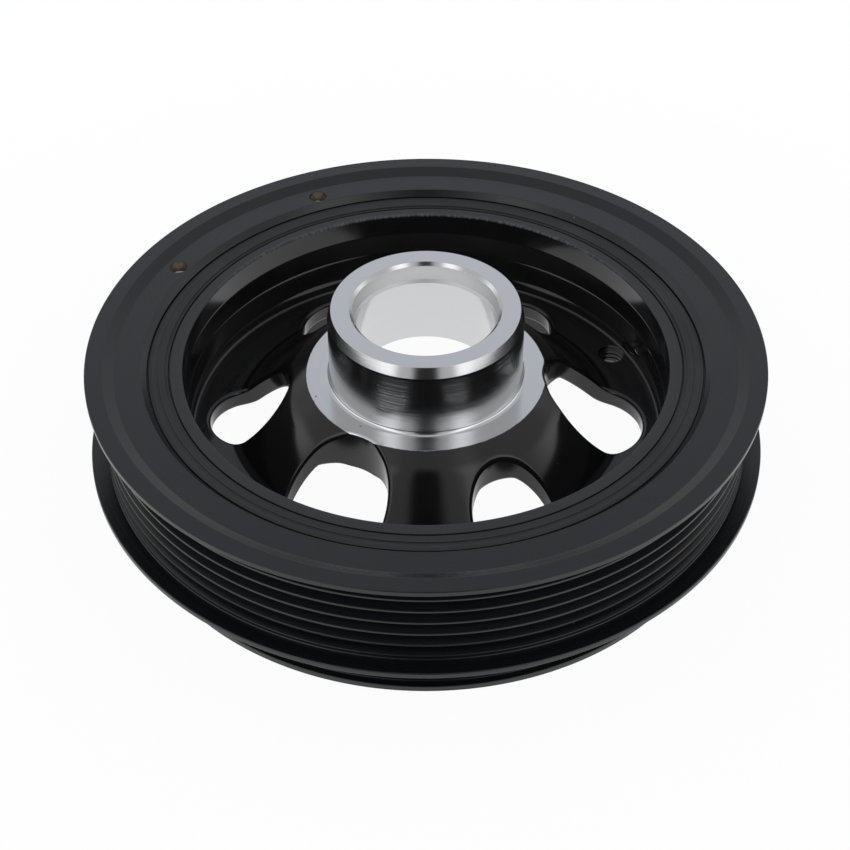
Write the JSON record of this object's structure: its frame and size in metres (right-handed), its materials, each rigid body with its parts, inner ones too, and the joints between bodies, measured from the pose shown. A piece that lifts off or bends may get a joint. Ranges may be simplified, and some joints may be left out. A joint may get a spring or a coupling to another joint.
{
  "type": "belt pulley",
  "caption": "Crankshaft belt pulley with a multi-rib seat, a bonded rubber damper ring, a hub with round windows and a bored nose.",
  "frame": {"origin": "centre of the rear face of the belt ring, on the pulley's axis", "axes": "+Z along the axis towards the nose; the picture looks along +Y"},
  "size_m": [0.167, 0.167, 0.0526],
  "materials": {
    "hub_casting": "gloss black paint, nose and flange turned bright",
    "damper_elastomer": "matt",
    "ring_casting": "satin black coating"
  },
  "bodies": {
    "root": {"hub": "hub_casting", "damper_rubber": "damper_elastomer", "pulley_ring": "ring_casting"}
  },
  "joints": []
}
